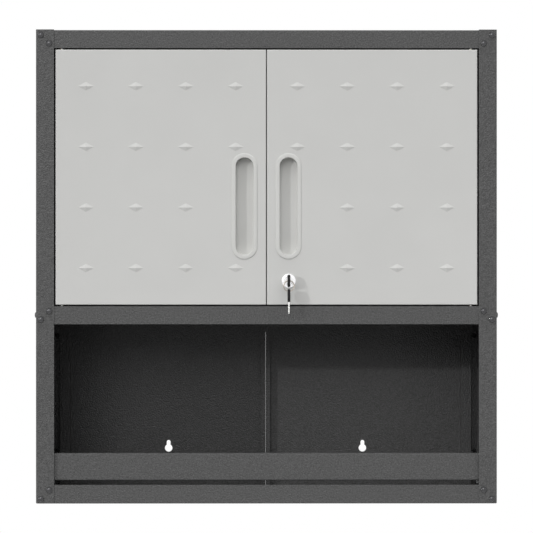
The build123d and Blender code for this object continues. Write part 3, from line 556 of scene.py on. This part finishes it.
# Tumbling before the plating leaves a satin shine, in marks about a millimetre across.
nickel, tree, place = new_material("nickel_plated_steel")
marks = add_node(tree, "TexNoise", Vector=place, Scale=1 / (1.2 * MM)).outputs["Fac"]
finish_material(
    tree, Metallic=1.0,
    Base_Color=add_node(tree, "MixRGB", Fac=marks, Color1=linear("#dcdcd9"),
                        Color2=linear("#fafaf8")).outputs["Color"],
    Roughness=add_node(tree, "MapRange", Value=marks, From_Min=0.3, From_Max=0.7,
                       To_Min=0.18, To_Max=0.3).outputs["Result"])
cover_low, cover_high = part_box("key_cover")
spare_low, spare_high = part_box("spare_key_cover")
key_seat = (lock_x, cover_high.y, lock_z)
spare_seat = (lock_x, (spare_low.y + spare_high.y) / 2, spare_low.z)
blade = blade_surface()
make_piece("key_steel", [placed_key(blade, key_seat)], nickel, "lock_plug",
           ["key_blade"])
make_piece("spare_key_steel", [placed_key(blade, spare_seat, hanging=True)], nickel,
           "key_ring", ["spare_key_blade"])

# Key covers: grips moulded over the blanks in black ABS, with the mould's fine satin texture.
# They have softly rounded edges and a hole for the ring.
COVER_CORNER, COVER_HOLE, COVER_HOLE_INSET = 7.0 * MM, 2.4 * MM, 3.6 * MM
COVER_EDGE, COVER_LIP = 1.0 * MM, 0.4 * MM


def rounded_rectangle(width, height, corner, count=96):
    """Returns the nearest points of the inner rectangle, which is the outline set in by the
    corner radius, and the ways outwards from them. Their points on the outline, a corner
    radius further out, are spaced evenly along it."""
    turn = np.linspace(0, 2 * np.pi, count, endpoint=False) + np.pi / count
    way = np.stack([np.cos(turn), np.sin(turn)], -1)
    reach = np.array([width / 2, height / 2]) - corner
    arcs = np.sign(way) * reach + way * corner
    closed = np.concatenate([arcs, arcs[:1]])
    run = np.append(0, np.cumsum(np.linalg.norm(np.diff(closed, axis=0), axis=1)))
    at = np.linspace(0, run[-1], count, endpoint=False)
    points = np.stack([np.interp(at, run, closed[:, k]) for k in (0, 1)], -1)
    core = np.clip(points, -reach, reach)
    return core, (points - core) / corner


def cover_surface(thick, height, length):
    """Rows run from the middle of the hole's wall over one face to the outer edge's middle,
    and back over the other face. On a face, a point is part of the way from the hole's rim
    to the outline, which is a rounded rectangle. Each edge is a quarter ellipse."""
    core, way = rounded_rectangle(height, length, COVER_CORNER)
    core = core - np.array([0, length / 2])
    hole = np.array([0, COVER_HOLE_INSET - length])
    inner = core + way * (COVER_CORNER - COVER_EDGE)
    away = (inner - hole) / np.linalg.norm(inner - hole, axis=1, keepdims=True)
    rim, top = hole + away * (COVER_HOLE + COVER_LIP), thick / 2
    rows = [(hole + away * COVER_HOLE, 0), (hole + away * COVER_HOLE, top - COVER_LIP)]
    rows += [(rim + (inner - rim) * share, top) for share in np.linspace(0, 1, 5)]
    rows += [(core + way * (COVER_CORNER - COVER_EDGE * (1 - math.sin(bend))),
              top * math.cos(bend)) for bend in np.linspace(0, np.pi / 2, 9)[1:]]
    rows += [(spots, -rise) for spots, rise in rows[-2:0:-1]]
    points = [np.column_stack([np.full(len(core), rise), spots]) for spots, rise in rows]
    return np.concatenate(points), grid_faces(len(rows), len(core), closed_rows=True)


# The mould's texture breaks up what the grip mirrors. It is drawn 0.6 mm across, coarser than
# it is, so that it shows.
black_abs, tree, place = new_material("black_moulded_abs")
skin = add_node(tree, "TexNoise", Vector=place, Scale=1 / (0.6 * MM)).outputs["Fac"]
finish_material(
    tree, IOR=1.53, Specular_IOR_Level=0.2,
    Base_Color=add_node(tree, "MixRGB", Fac=skin, Color1=linear("#070708"),
                        Color2=linear("#161617")).outputs["Color"],
    Roughness=add_node(tree, "MapRange", Value=skin, From_Min=0.3, From_Max=0.7,
                       To_Min=0.32, To_Max=0.45).outputs["Result"],
    Normal=add_node(tree, "Bump", Height=skin, Distance=0.01 * MM).outputs["Normal"])
cover = cover_surface(cover_high.x - cover_low.x, cover_high.z - cover_low.z,
                      cover_high.y - cover_low.y)
make_piece("key_grip", [placed_key(cover, key_seat)], black_abs, "lock_plug",
           ["key_cover"])
make_piece("spare_key_grip", [placed_key(cover, spare_seat, hanging=True)], black_abs,
           "key_ring", ["spare_key_cover"])

# Key ring: a split ring of oil-tempered spring steel, two turns wound flat against each other.
# One short step takes the strip from the first turn to the second. The tempering leaves the
# steel a dull, slightly brown grey.
RING_RADIUS, RING_HALF_WIDTH, STEP_TURN = 8.0 * MM, 0.75 * MM, 0.06


def split_ring(steps=200):
    """An oval section, twice as wide as it is thick, carried twice round a circle. As it passes
    the end of turn one, its offset along the ring's axis goes smoothly from minus to plus half
    its thickness. The last row at each end is a point, which closes it."""
    turn = np.linspace(STEP_TURN, 2 - STEP_TURN, steps)
    share = np.clip((turn - 1 + STEP_TURN) / (2 * STEP_TURN), 0, 1)
    offset = RING_HALF_WIDTH * (share * share * (3 - 2 * share) - 0.5)
    bend = np.linspace(0, 2 * np.pi, 16, endpoint=False)
    size = np.concatenate([[0], np.ones(steps), [0]])[:, None]
    turn, offset = (np.concatenate([v[:1], v, v[-1:]])[:, None] for v in (turn, offset))
    out = RING_RADIUS + RING_HALF_WIDTH * np.cos(bend) * size
    along = offset + 0.5 * RING_HALF_WIDTH * np.sin(bend) * size
    x, z = out * np.cos(2 * np.pi * turn), out * np.sin(2 * np.pi * turn)
    return np.stack([x, along, z], -1).reshape(-1, 3), grid_faces(steps + 2, len(bend))


# The oil burns on unevenly, which leaves paler patches about 2 mm across.
tempered, tree, place = new_material("oil_tempered_spring_steel")
scale = add_node(tree, "TexNoise", Vector=place, Scale=1 / (2 * MM)).outputs["Fac"]
finish_material(
    tree, Metallic=1.0,
    Base_Color=add_node(tree, "MixRGB", Fac=scale, Color1=linear("#8c857c"),
                        Color2=linear("#b9b2a9")).outputs["Color"],
    Roughness=add_node(tree, "MapRange", Value=scale, From_Min=0.3, From_Max=0.7,
                       To_Min=0.25, To_Max=0.4).outputs["Result"])
ring_low, ring_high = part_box("key_ring")
ring_points, ring_faces = split_ring()
make_piece("split_key_ring", [(ring_points + np.array((ring_low + ring_high) / 2), ring_faces)],
           tempered, "key_ring", ["key_ring"], crease=60)

# Room: a pale painted floor well below the hung cabinet, and white surroundings on all
# sides. The room's light grows from the horizon to its most overhead, and the floor sends
# some of it back up.
FLOOR_REACH, FLOOR_DROP = 1.3, 1.3
floor_mesh = bpy.data.meshes.new("floor")
corners = [(-1, -1), (1, -1), (1, 1), (-1, 1)]
floor_mesh.from_pydata([(x * FLOOR_REACH, y * FLOOR_REACH, -FLOOR_DROP) for x, y in corners],
                       [], [(0, 1, 2, 3)])
floor = bpy.data.objects.new("floor", floor_mesh)
bpy.context.scene.collection.objects.link(floor)
# Feet leave faint scuffs about 150 mm across, so the paint isn't one flat grey.
floor_paint, tree, place = new_material("pale_floor_paint")
scuffs = add_node(tree, "TexNoise", Vector=place, Scale=1 / (150 * MM)).outputs["Fac"]
finish_material(
    tree, Roughness=0.8,
    Base_Color=add_node(tree, "MixRGB", Fac=scuffs, Color1=linear("#dcdcdc"),
                        Color2=linear("#e0e0e0")).outputs["Color"])
floor_mesh.materials.append(floor_paint)

ZENITH_LIGHT = 2.72
world = bpy.data.worlds.new("white_room")
bpy.context.scene.world = world
world.use_nodes = True
tree = world.node_tree
tree.nodes.clear()
ray = add_node(tree, "LightPath").outputs
seen = ray["Is Camera Ray"]
for kind in ("Is Glossy Ray", "Is Transmission Ray"):
    either = add_node(tree, "Math", {"operation": "MAXIMUM"})
    tree.links.new(seen, either.inputs[0])
    tree.links.new(ray[kind], either.inputs[1])
    seen = either.outputs[0]
direction = add_node(tree, "TexCoord").outputs["Generated"]
rise = add_node(tree, "SeparateXYZ", Vector=direction).outputs["Z"]
glow = add_node(tree, "MapRange", Value=rise, To_Max=ZENITH_LIGHT).outputs["Result"]
room = add_node(tree, "Background", Strength=glow)
white = add_node(tree, "Background", Strength=1.0)
for background in (room, white):
    background.inputs["Color"].default_value = linear("#ffffff")
mix = add_node(tree, "MixShader", Fac=seen)
tree.links.new(room.outputs[0], mix.inputs[1])
tree.links.new(white.outputs[0], mix.inputs[2])
add_node(tree, "OutputWorld", Surface=mix.outputs[0])

# Lamps: a distant window on the left, whose rays run 1.06 sideways and 0.25 down for each unit
# back, so the pulls and the lock throw their shadows to the right. A wide, distant softbox in
# front, a little above and to the left, gives the charcoal coat its sheen.
for name, energy, spread_angle, sideways, down in (
    ("side_window", 0.75, 1.2, 1.06, 0.25), ("front_softbox", 0.5, 24, 0.15, 0.33),
):
    lamp_data = bpy.data.lights.new(name, "SUN")
    lamp_data.energy = energy
    lamp_data.angle = math.radians(spread_angle)
    lamp = bpy.data.objects.new(name, lamp_data)
    lamp.rotation_euler = Vector((sideways, 1, -down)).to_track_quat("-Z", "Y").to_euler()
    bpy.context.scene.collection.objects.link(lamp)

# Camera: level, 4.1 m in front of the corner angles, with a long lens. It stands 20 mm to the
# left of the middle and is turned back to face it.
CAMERA_DISTANCE, CAMERA_HEIGHT, CAMERA_LEFT = 4.1, 0.3601, 0.02
camera_data = bpy.data.cameras.new("camera")
camera_data.lens = 182.4
camera_data.sensor_width = 36
camera = bpy.data.objects.new("camera", camera_data)
camera.location = (-CAMERA_LEFT, post_low.y - CAMERA_DISTANCE, CAMERA_HEIGHT)
camera.rotation_euler = (math.pi / 2, 0, -math.atan(CAMERA_LEFT / CAMERA_DISTANCE))
bpy.context.scene.collection.objects.link(camera)
bpy.context.scene.camera = camera
bpy.context.scene.view_settings.view_transform = "Standard"
